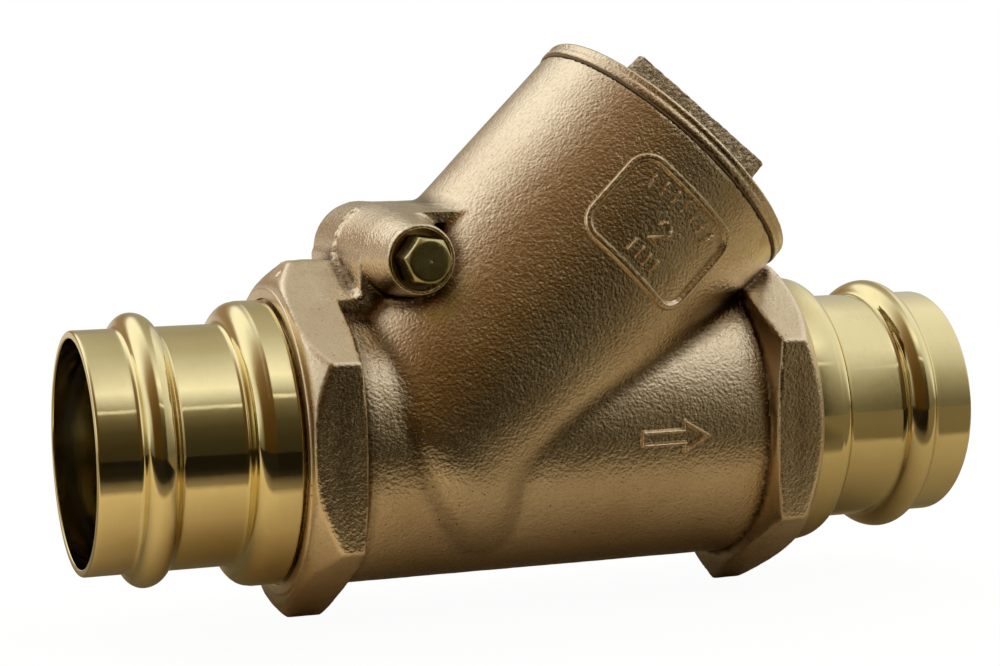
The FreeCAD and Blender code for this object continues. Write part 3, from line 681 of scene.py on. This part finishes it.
def make_valve_body():
    grid = Grid((45, -41, -46), (181, 41, 96), CASTING_STEP)
    outside, hollow = valve_body_fields(grid)
    outside = parting_flash(grid, outside)
    field = less(outside, hollow, 0.4)
    points, triangles, quads = grid.surface(field)
    piece = new_mesh("valve_body_casting", points, [triangles, quads])
    inside = grid.sample(np.broadcast_to(hollow, grid.shape), points)
    hidden = np.abs(inside) < HIDDEN_WITHIN
    # Painted shade: the deeper a point lies in an inner corner or crease of the outside, the darker
    # its colour; none in the hollows.
    depth = grid.sample(grid.creases(outside, CREASE_REACH), points)
    share = np.clip((depth - UNSHADED_CREASE) / (FULLY_SHADED_CREASE - UNSHADED_CREASE), 0, 1)
    painted_crease_shade = piece.data.attributes.new("painted_crease_shade", "FLOAT", "POINT")
    painted_crease_shade.data.foreach_set("value", np.where(hidden, 0.0, share).astype(np.float32))
    roughen(piece, CAST_WAVES, np.where(hidden, 0.0, 1.0))
    centres = face_centres(piece)
    near = grid.sample(np.broadcast_to(hollow, grid.shape), centres)
    far = grid.sample(np.broadcast_to(outside, grid.shape), centres)
    cut = (near > -0.6) & (np.abs(near) < np.abs(far)) & (centres[:, 1] > -30.5)
    ends = (centres[:, 0] < INLET_FACE + 13.3) | (centres[:, 0] > OUTLET_FACE - 14)
    ends &= (far > -0.5) & (np.abs(centres[:, 1]) < SLANT - 0.4)
    ends &= np.hypot(centres[:, 1], centres[:, 2]) > 34.6
    paint(piece, CAST, MACHINED, DRESSED)
    index = np.where(cut, 1, np.where(ends, 2, 0))
    piece.data.polygons.foreach_set("material_index", index.astype(np.int32))
    return stand_for(face_out(piece), "body", "cast_bronze", "valve_body")


make_valve_body()


def make_end_faces():
    """The turned rings on the hexagons' faces, close round the press ends' collars."""
    profile = [(46.95, 34.55), (46.95, 36.9), (47.35, 37.3), (48.5, 37.3), (48.5, 34.55)]
    for name, place in (("inlet_face", Matrix.Identity(4)), ("outlet_face", FAR_END)):
        piece = lathe(name, soften(profile, 0.35), place, 200)
        paint(piece, DRESSED)
        stand_for(piece, "body", "cast_bronze")


make_end_faces()


def make_boss_rim():
    """The turned rim round the side plug's recess, running out flush on the boss."""
    front = BOSS_RADIUS - BOSS_DRAFT * BOSS_KNEE - BOSS_TAPER * (-BOSS_FRONT - BOSS_KNEE)
    inside = SINK_RADIUS - 0.1
    profile = [(0.0, inside), (0.0, front), (2.6, front + 2.6 * BOSS_TAPER)]
    profile += [(3.2, front - 0.2), (3.2, inside)]
    turn = Matrix(((0, -1, 0, PIN_X), (1, 0, 0, BOSS_FRONT), (0, 0, 1, PIN_Z), (0, 0, 0, 1)))
    piece = lathe("boss_rim", soften(profile, 0.9), turn, 120)
    paint(piece, CAST)
    return stand_for(piece, "body", "cast_bronze")


make_boss_rim()


# Press ends.
PRESS_SEGMENTS = 320


def squeezed(points, middle, share):
    """The points, those below the middle drawn in towards it."""
    return [(middle - (middle - x) * share if x < middle else x, r) for x, r in points]


def swell(middle, low, radius, start=None):
    """A bead, or from its crest on the left half of one, filleted into the tube at its feet."""
    fillet = 1.3
    tube = 29.0
    rise = tube + fillet - low
    reach = math.sqrt((radius + fillet) ** 2 - rise**2)
    lean = math.degrees(math.asin(rise / (radius + fillet)))
    right = []
    if start is None:
        start = lean
        right = arc((middle + reach, tube + fillet), fillet, 270, 180 + lean, 8)
    crown = arc((middle, low), radius, start, 180 - lean, 26)
    return right + crown + arc((middle - reach, tube + fillet), fillet, 360 - lean, 270, 8)


def press_end_profile():
    turn_in = math.degrees(math.asin(0.352 / 3.12))
    return (
        [(0.0, 27.1), (11.4, 27.1), (11.4, 27.6)]
        + arc((14.5, 27.6), 3.1, 180 - turn_in, turn_in)
        + [(17.6, 27.6), (17.6, 27.1), (38.0, 27.1), (38.0, 25.2), (62.3, 25.2)]
        + [(62.3, 28.9), (61.1, 30.1), (46.4, 30.1), (46.4, 34.05), (46.2, 34.25)]
        + [(39.9, 34.25), (39.8, 34.1)]
        + squeezed(swell(39.7, 28.05, 6.05, 90), 39.7, 0.78)
        + squeezed(swell(14.5, 27.6, 5.0), 14.5, 0.84)
        + [(0.4, 29.0), (0.0, 28.6)]
    )


def make_press_ends():
    profile = soften(press_end_profile(), 0.55)
    inlet = lathe("inlet_press_cup", profile, Matrix.Identity(4), PRESS_SEGMENTS)
    outlet = lathe("outlet_press_cup", profile, FAR_END, PRESS_SEGMENTS)
    for piece, node in ((inlet, "inlet_press_end"), (outlet, "outlet_press_end")):
        paint(piece, BRASS)
        stand_for(piece, "body", "press_brass", node)


make_press_ends()


# The bonnet.
BONNET_STEP = 0.45
HEAD_TURN, HEAD_HALF = -19, 21.0
FLANGE_LOW, FLANGE_HIGH, FLANGE_RADIUS = 92.25, 96.1, 38.8


def make_bonnet():
    grid = Grid((78, -39.5, -39.5), (105.5, 39.5, 39.5), BONNET_STEP)
    s = grid.x
    rho = np.hypot(grid.y, grid.z)
    turn = math.radians(HEAD_TURN)
    u = grid.y * math.cos(turn) + grid.z * math.sin(turn)
    v = grid.z * math.cos(turn) - grid.y * math.sin(turn)
    draft = 0.03 * (s - 95.9)
    square = both(np.abs(u) - HEAD_HALF + draft, np.abs(v) - HEAD_HALF + draft, 2.6)
    square = both(square, slab(s, 90, 105.0), 0.6)
    waist = 0.35 * np.exp(-(((s - 94.4) / 0.35) ** 2))
    flange = both(rho - FLANGE_RADIUS + waist, s - FLANGE_HIGH, 0.6)
    flange = both(flange, FLANGE_LOW - s, 0.3)
    angle = np.arctan2(grid.z, grid.y)
    phase = (s / 2.0 - angle / (2 * math.pi)) % 1.0
    groove = np.abs(phase - 0.5) * 2
    depth = 1.15 * np.clip(1.25 * groove - 0.1, 0, 1)
    relief = np.clip((s - 90.6) / 0.8, 0, 1)
    crest = 34.1 - np.maximum(depth, 1.2 * relief)
    skirt = both((rho - crest) * 0.75, slab(s, 80, 93.2), 0.5)
    solid = join(join(flange, square, 0.9), skirt, 0.3)
    recess = both(rho - 27.5, slab(s, 70, 90), 1.5)
    field = less(solid, recess, 0.4)
    points, triangles, quads = grid.surface(field)
    cast = np.clip((points[:, 0] - 93.4) / 1.0, 0, 1)
    on_square = np.clip((points[:, 0] - 96.2) / 0.8, 0, 1)
    place = np.array(BRANCH_FRAME)
    world = points @ place[:3, :3].T + place[:3, 3]
    piece = new_mesh("bonnet_casting", world, [triangles, quads])
    face_out(piece)
    roughen(piece, [(7.0, 0.1), (2.2, 0.08)], cast)
    roughen(piece, [(1.4, 0.3), (3.3, 0.15)], on_square)
    centres = face_centres(piece)
    along = (centres - place[:3, 3]) @ place[:3, 0]
    across = np.linalg.norm(centres - place[:3, 3] - along[:, None] * place[:3, 0], axis=1)
    index = np.where(along < 92.8, 1, 0)
    index = np.where((along > 96.4) & (across < 34), 2, index)
    paint(piece, CAST, MACHINED, COARSE)
    piece.data.polygons.foreach_set("material_index", index.astype(np.int32))
    return stand_for(piece, "bonnet", "cast_bronze", "bonnet_cap")


make_bonnet()


# The bonnet's gasket, squeezed out nearly flush.
def make_gasket():
    profile = [(91.85, 34.7), (92.4, 34.7), (92.4, 38.45), (92.12, 38.62), (91.85, 38.45)]
    piece = lathe("gasket_ring", profile, BRANCH_FRAME, 240)
    paint(piece, FIBRE)
    return stand_for(piece, "gasket", "gasket_fibre", "bonnet_gasket")


make_gasket()


# The side plug.
PLUG_STEP = 0.15
PLUG_TURN, PLUG_FRONT = 172, -36.8


def make_plug():
    grid = Grid((-7, -37.2, -7), (7, -18.6, 7), PLUG_STEP)
    rho = np.hypot(grid.x, grid.z)
    angle = np.arctan2(grid.z, grid.x)
    turn = math.radians(PLUG_TURN)
    flats = rho * np.cos((angle - turn) % (math.pi / 3) - math.pi / 6) - 5.2
    depth = grid.y - PLUG_FRONT
    bevel = (rho - 4.75 - depth * 1.1) / math.hypot(1, 1.1)
    head = both(flats, bevel, 0.25)
    head = both(head, slab(grid.y, PLUG_FRONT, -28.5), 0.2)
    mark = np.sqrt((grid.x - 0.5) ** 2 + grid.z**2 + (grid.y + 37.0) ** 2)
    head = less(head, mark - 0.36, 0.05)
    crest = 5.1 - 0.35 * np.abs(((grid.y / 1.4 - angle / (2 * math.pi)) % 1.0) - 0.5) * 2
    thread = both(rho - crest, slab(grid.y, -28.6, -19.2), 0.3)
    field = join(head, thread, 0.1)
    points, triangles, quads = grid.surface(field, 0.02)
    points = points + np.array([PIN_X, 0, PIN_Z])
    piece = face_out(new_mesh("side_plug", points, [triangles, quads]))
    paint(piece, SHADED_PLUG_BRASS)
    return stand_for(piece, "body", "press_brass", "hinge_pin_plug")


make_plug()


# Raised marks on the casting.
def stroke(u, v, line, width):
    """Distance past the edge of a polyline drawn with a round pen."""
    best = np.full(np.broadcast(u, v).shape, 1e9)
    for (x0, y0), (x1, y1) in zip(line[:-1], line[1:]):
        dx, dy = x1 - x0, y1 - y0
        t = np.clip(((u - x0) * dx + (v - y0) * dy) / max(dx * dx + dy * dy, 1e-9), 0, 1)
        best = np.minimum(best, np.hypot(u - x0 - t * dx, v - y0 - t * dy))
    return best - width / 2


def raised(edge, height, ease):
    """A raised band's height from the distance past its edge."""
    t = np.clip(0.5 - edge / ease / 2, 0, 1)
    return height * t * t * (3 - 2 * t)


def relief_plate(name, place, radius, along, around, height, step):
    """A thin curved plate sunk in a cylinder's skin, standing proud where height says so."""
    u = np.arange(along[0], along[1] + step, step)
    v = np.arange(around[0], around[1] + step, step)
    uu, vv = np.meshgrid(u, v, indexing="ij")
    top = radius - 0.6 + height(uu, vv)
    theta = vv / radius
    sheets = []
    for r in (top, np.full_like(top, radius - 1.6)):
        sheets.append(np.stack([uu, -r * np.cos(theta), r * np.sin(theta)], -1).reshape(-1, 3))
    count = len(u) * len(v)
    ids = np.arange(count).reshape(len(u), len(v))
    skin = np.stack([ids[:-1, :-1], ids[1:, :-1], ids[1:, 1:], ids[:-1, 1:]], -1).reshape(-1, 4)
    rim = np.concatenate([ids[:-1, 0], ids[-1, :-1], ids[:0:-1, -1], ids[0, :0:-1]])
    ahead = np.roll(rim, -1)
    wall = np.stack([rim, rim + count, ahead + count, ahead], -1)
    points = np.concatenate(sheets) @ np.array(place)[:3, :3].T + np.array(place)[:3, 3]
    piece = face_out(new_mesh(name, points, [np.concatenate([skin, skin + count, wall])]))
    paint(piece, CAST)
    return stand_for(piece, "body", "cast_bronze")


def badge_height(s, t):
    """A rounded frame with the size numeral and rows of plain ticks in it."""
    x, y = s - 70.3, t
    corner = 5.2
    past_x = np.abs(x) - (12.1 - corner)
    past_y = np.abs(y) - (16.6 - corner)
    box = np.hypot(np.maximum(past_x, 0), np.maximum(past_y, 0))
    box = box + np.minimum(np.maximum(past_x, past_y), 0) - corner
    rim = raised(np.abs(box) - 1.0, 1.6, 0.62)
    # To a reader, right is -t and up is +s.
    right, up = -y, x
    two = [(-1.9, 1.3), (-1.6, 2.3), (-0.7, 2.9), (0.4, 2.9), (1.4, 2.3), (1.7, 1.3)]
    two += [(1.3, 0.3), (-0.2, -1.2), (-1.9, -2.9), (1.9, -2.9)]
    marks = stroke(right, up + 0.6, two, 0.85)
    for k in range(7):
        lean = (k - 3) * 0.2
        a = (3.25 * (k - 3), 7.0 - 0.16 * (k - 3) ** 2)
        b = (a[0] + 1.9 * math.sin(lean) * 0.6, a[1] + 3.0)
        marks = np.minimum(marks, stroke(right, up, [a, b], 1.1))
    for k in range(4):
        a = (2.6 * (k - 1.5), -9.0)
        marks = np.minimum(marks, stroke(right, up, [a, (a[0], a[1] + 3.0)], 1.1))
    return np.maximum(rim, raised(marks, 1.65, 0.42))


def arrow_height(x, t):
    """An outlined arrow pointing the way the water goes."""
    line = [(130.2, 1.5), (141.3, 1.5), (141.3, 3.5), (147.4, 0.0), (141.3, -3.5)]
    line += [(141.3, -1.5), (130.2, -1.5), (130.2, 1.5)]
    return raised(stroke(x, t, line, 1.1), 1.9, 0.48)


relief_plate(
    "size_badge", BRANCH_FRAME, BRANCH_RADIUS, (55.5, 85.1), (-19.4, 19.4), badge_height, 0.2
)
relief_plate(
    "flow_arrow", Matrix.Identity(4), RUN_RADIUS, (128.5, 149.3), (-5.2, 5.2), arrow_height, 0.15
)

# Pieces whose CAD shape is right.
FINISHES = {
    "inlet_o_ring": RUBBER,
    "outlet_o_ring": RUBBER,
    "seat_disc": PTFE,
    "hinge_pin": STEEL,
    "disc_lock_pin": STEEL,
    "hinge_arm": MACHINED,
    "disc_holder": MACHINED,
    "seat_disc_washer": MACHINED,
    "disc_washer": MACHINED,
    "seat_disc_nut": NUT_BRASS,
    "disc_nut": NUT_BRASS,
}
for node, material in FINISHES.items():
    paint(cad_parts[node], material)


# Camera, floor and light.
CAMERA_TURN, CAMERA_TILT, CAMERA_ROLL = 20.922, 5.92, -0.627
CAMERA_PLACE = (-103.45, -555.19, 84.84)
CAMERA_LENS = 86.226


def make_camera():
    turn, tilt, roll = (math.radians(a) for a in (CAMERA_TURN, CAMERA_TILT, CAMERA_ROLL))
    right = Vector((math.cos(turn), -math.sin(turn), 0))
    ahead = Vector(
        (math.sin(turn) * math.cos(tilt), math.cos(turn) * math.cos(tilt), -math.sin(tilt))
    )
    up = right.cross(ahead)
    x = right * math.cos(roll) + up * math.sin(roll)
    y = up * math.cos(roll) - right * math.sin(roll)
    z = -ahead
    data = bpy.data.cameras.new("camera")
    data.lens = CAMERA_LENS
    data.sensor_width = 36
    data.shift_x = -0.0057
    data.shift_y = 0.0008
    data.clip_start = 0.02
    data.clip_end = 50
    camera = bpy.data.objects.new("camera", data)
    place = Vector(CAMERA_PLACE) * MM
    camera.matrix_world = Matrix(
        (
            (x.x, y.x, z.x, place.x),
            (x.y, y.y, z.y, place.y),
            (x.z, y.z, z.z, place.z),
            (0, 0, 0, 1),
        )
    )
    bpy.context.scene.collection.objects.link(camera)
    bpy.context.scene.camera = camera


# The studio seen from the object, as (degrees up from eye level in front, over the top to
# the back, brightness), towards its left, its right and its ends. BROWN is the green and blue
# shares of the darkest light there.
LEFT_STUDIO = [
    (-180, 0.66),
    (-140, 0.50),
    (-60, 0.30),
    (-22, 0.12),
    (-12, 0.05),
    (5, 0.06),
    (15, 0.08),
    (30, 0.10),
    (45, 0.15),
    (60, 0.21),
    (75, 0.30),
    (90, 0.54),
    (105, 0.88),
    (122, 1.20),
    (143, 1.25),
    (151, 1.15),
    (157, 0.50),
    (163, 0.33),
    (172, 0.36),
    (180, 0.66),
]
RIGHT_STUDIO = [
    (-180, 0.40),
    (-60, 0.30),
    (-22, 0.10),
    (-12, 0.03),
    (12, 0.045),
    (25, 0.075),
    (35, 0.15),
    (43.0, 0.28),
    (44.4, 1.7),
    (45.8, 0.40),
    (53, 0.75),
    (63, 1.22),
    (76, 0.98),
    (92, 0.74),
    (110, 0.54),
    (145, 0.40),
    (180, 0.38),
]
END_STUDIO = [
    (-180, 0.50),
    (-60, 0.38),
    (-22, 0.24),
    (-12, 0.15),
    (5, 0.17),
    (15, 0.25),
    (30, 0.42),
    (50, 0.74),
    (70, 0.90),
    (118, 1.02),
    (150, 0.70),
    (180, 0.50),
]
LEFT_BROWN, RIGHT_BROWN, END_BROWN = (0.48, 0.04), (0.80, 0.38), (0.85, 0.5)
NEUTRAL_FROM = 0.8

# The floor's painted shade and light as the object sees it, at millimetres along Y: dark far out in
# front, bright just in front of the object, and a painted shadow beneath and behind it.
FLOOR_REACH = 200
FLOOR_SHADE_AND_LIGHT = [
    (-200, 0.02),
    (-150, 0.04),
    (-100, 0.35),
    (-86, 0.88),
    (-40, 0.80),
    (-15, 0.62),
    (5, 0.34),
    (22, 0.20),
    (60, 0.30),
    (200, 0.35),
]
FLOOR_GREEN, FLOOR_BLUE = 0.83, 0.54
FLOOR_HALF = 3.0
# Painted light on the floor beyond the outlet end.
OUTLET_PAINTED_LIGHT = (0.34, 0.28, 0.17)
SIGHT_SLANT = 0.382


def studio_stops(studio, brown):
    """Ramp stops over a full turn, the darker the browner."""
    stops = []
    for degrees, value in studio:
        white = min(value / NEUTRAL_FROM, 1)
        green, blue = (low + (1 - low) * white for low in brown)
        stops.append(((degrees + 180) / 360, (value, value * green, value * blue)))
    return stops


def make_world():
    """A studio that is dark at eye level in front, bright overhead, and white to the camera."""
    world = bpy.data.worlds.new("studio")
    n = Tree(world)
    x, y, z = n.place("Generated")
    angle = n.math("ARCTAN2", z, n.math("MULTIPLY", y, -1))
    share = n.span(angle, -math.pi, math.pi, easing="LINEAR")
    left = n.ramp(share, studio_stops(LEFT_STUDIO, LEFT_BROWN))
    right = n.ramp(share, studio_stops(RIGHT_STUDIO, RIGHT_BROWN))
    end = n.ramp(share, studio_stops(END_STUDIO, END_BROWN))
    colour = n.mix(n.span(x, -0.08, 0.24), left, right)
    colour = n.mix(n.span(x, 0.43, 0.5), colour, end)
    colour = n.mix(n.span(x, -0.78, -0.95), colour, end)
    lit = n.add("ShaderNodeBackground")
    n.link(colour, lit.inputs["Color"])
    seen = n.add("ShaderNodeBackground")
    seen.inputs["Color"].default_value = (1, 1, 1, 1)
    n.show("ShaderNodeOutputWorld", lit, seen)
    bpy.context.scene.world = world


def make_floor():
    """A pale floor, which the object sees as warm and uneven, with painted shade and light on it."""
    low = CAD_BOX[0][2]
    half = FLOOR_HALF
    corners = [(-half, -half), (half, -half), (half, half), (-half, half)]
    points = np.array([(x / MM, y / MM, low / MM) for x, y in corners])
    floor = new_mesh("floor", points, [np.array([[0, 1, 2, 3]])])
    material = bpy.data.materials.new("pale_floor")
    n = Tree(material)
    x, y, _ = n.place("Object")
    # Painted shade and light: the floor's colour follows the brightness stops along Y.
    stops = []
    for along, value in FLOOR_SHADE_AND_LIGHT:
        place = (along + FLOOR_REACH) / (2 * FLOOR_REACH)
        stops.append((place, (value, value * FLOOR_GREEN, value * FLOOR_BLUE)))
    share = n.span(y, -FLOOR_REACH * MM, FLOOR_REACH * MM, easing="LINEAR")
    # Painted light: past a slanted line beyond the outlet end, the floor is lifted to at least a
    # warm brightness.
    aslant = n.math("MULTIPLY_ADD", y, SIGHT_SLANT, x)
    colour = n.mix(n.span(aslant, 0.157, 0.217), n.ramp(share, stops), OUTLET_PAINTED_LIGHT, "LIGHTEN")
    # Painted light: the floor grows about half again as bright towards the inlet end.
    painted_inlet_light = n.add("ShaderNodeVectorMath", operation="SCALE")
    n.link(colour, painted_inlet_light.inputs[0])
    n.link(n.span(x, 0.092, 0.046, 0.92, 1.35), painted_inlet_light.inputs["Scale"])
    warm = n.add("ShaderNodeBsdfDiffuse")
    n.link(painted_inlet_light.outputs[0], warm.inputs["Color"])
    # Painted light: behind the object the floor itself glows, more the further back it lies, for the
    # object to reflect.
    painted_glow = n.add("ShaderNodeEmission")
    painted_glow.inputs["Color"].default_value = (1, 0.96, 0.88, 1)
    n.link(n.span(y, 0.1, 0.45, 0.0, 0.35), painted_glow.inputs["Strength"])
    pale = n.add("ShaderNodeBsdfDiffuse")
    pale.inputs["Color"].default_value = (0.08, 0.08, 0.08, 1)
    glow = n.add("ShaderNodeEmission")
    glow.inputs["Color"].default_value = (1, 1, 1, 1)
    glow.inputs["Strength"].default_value = 0.96
    n.show("ShaderNodeOutputMaterial", n.sum(warm, painted_glow), n.sum(pale, glow))
    paint(floor, material)


make_camera()
make_world()
make_floor()
bpy.context.scene.view_settings.view_transform = "Standard"
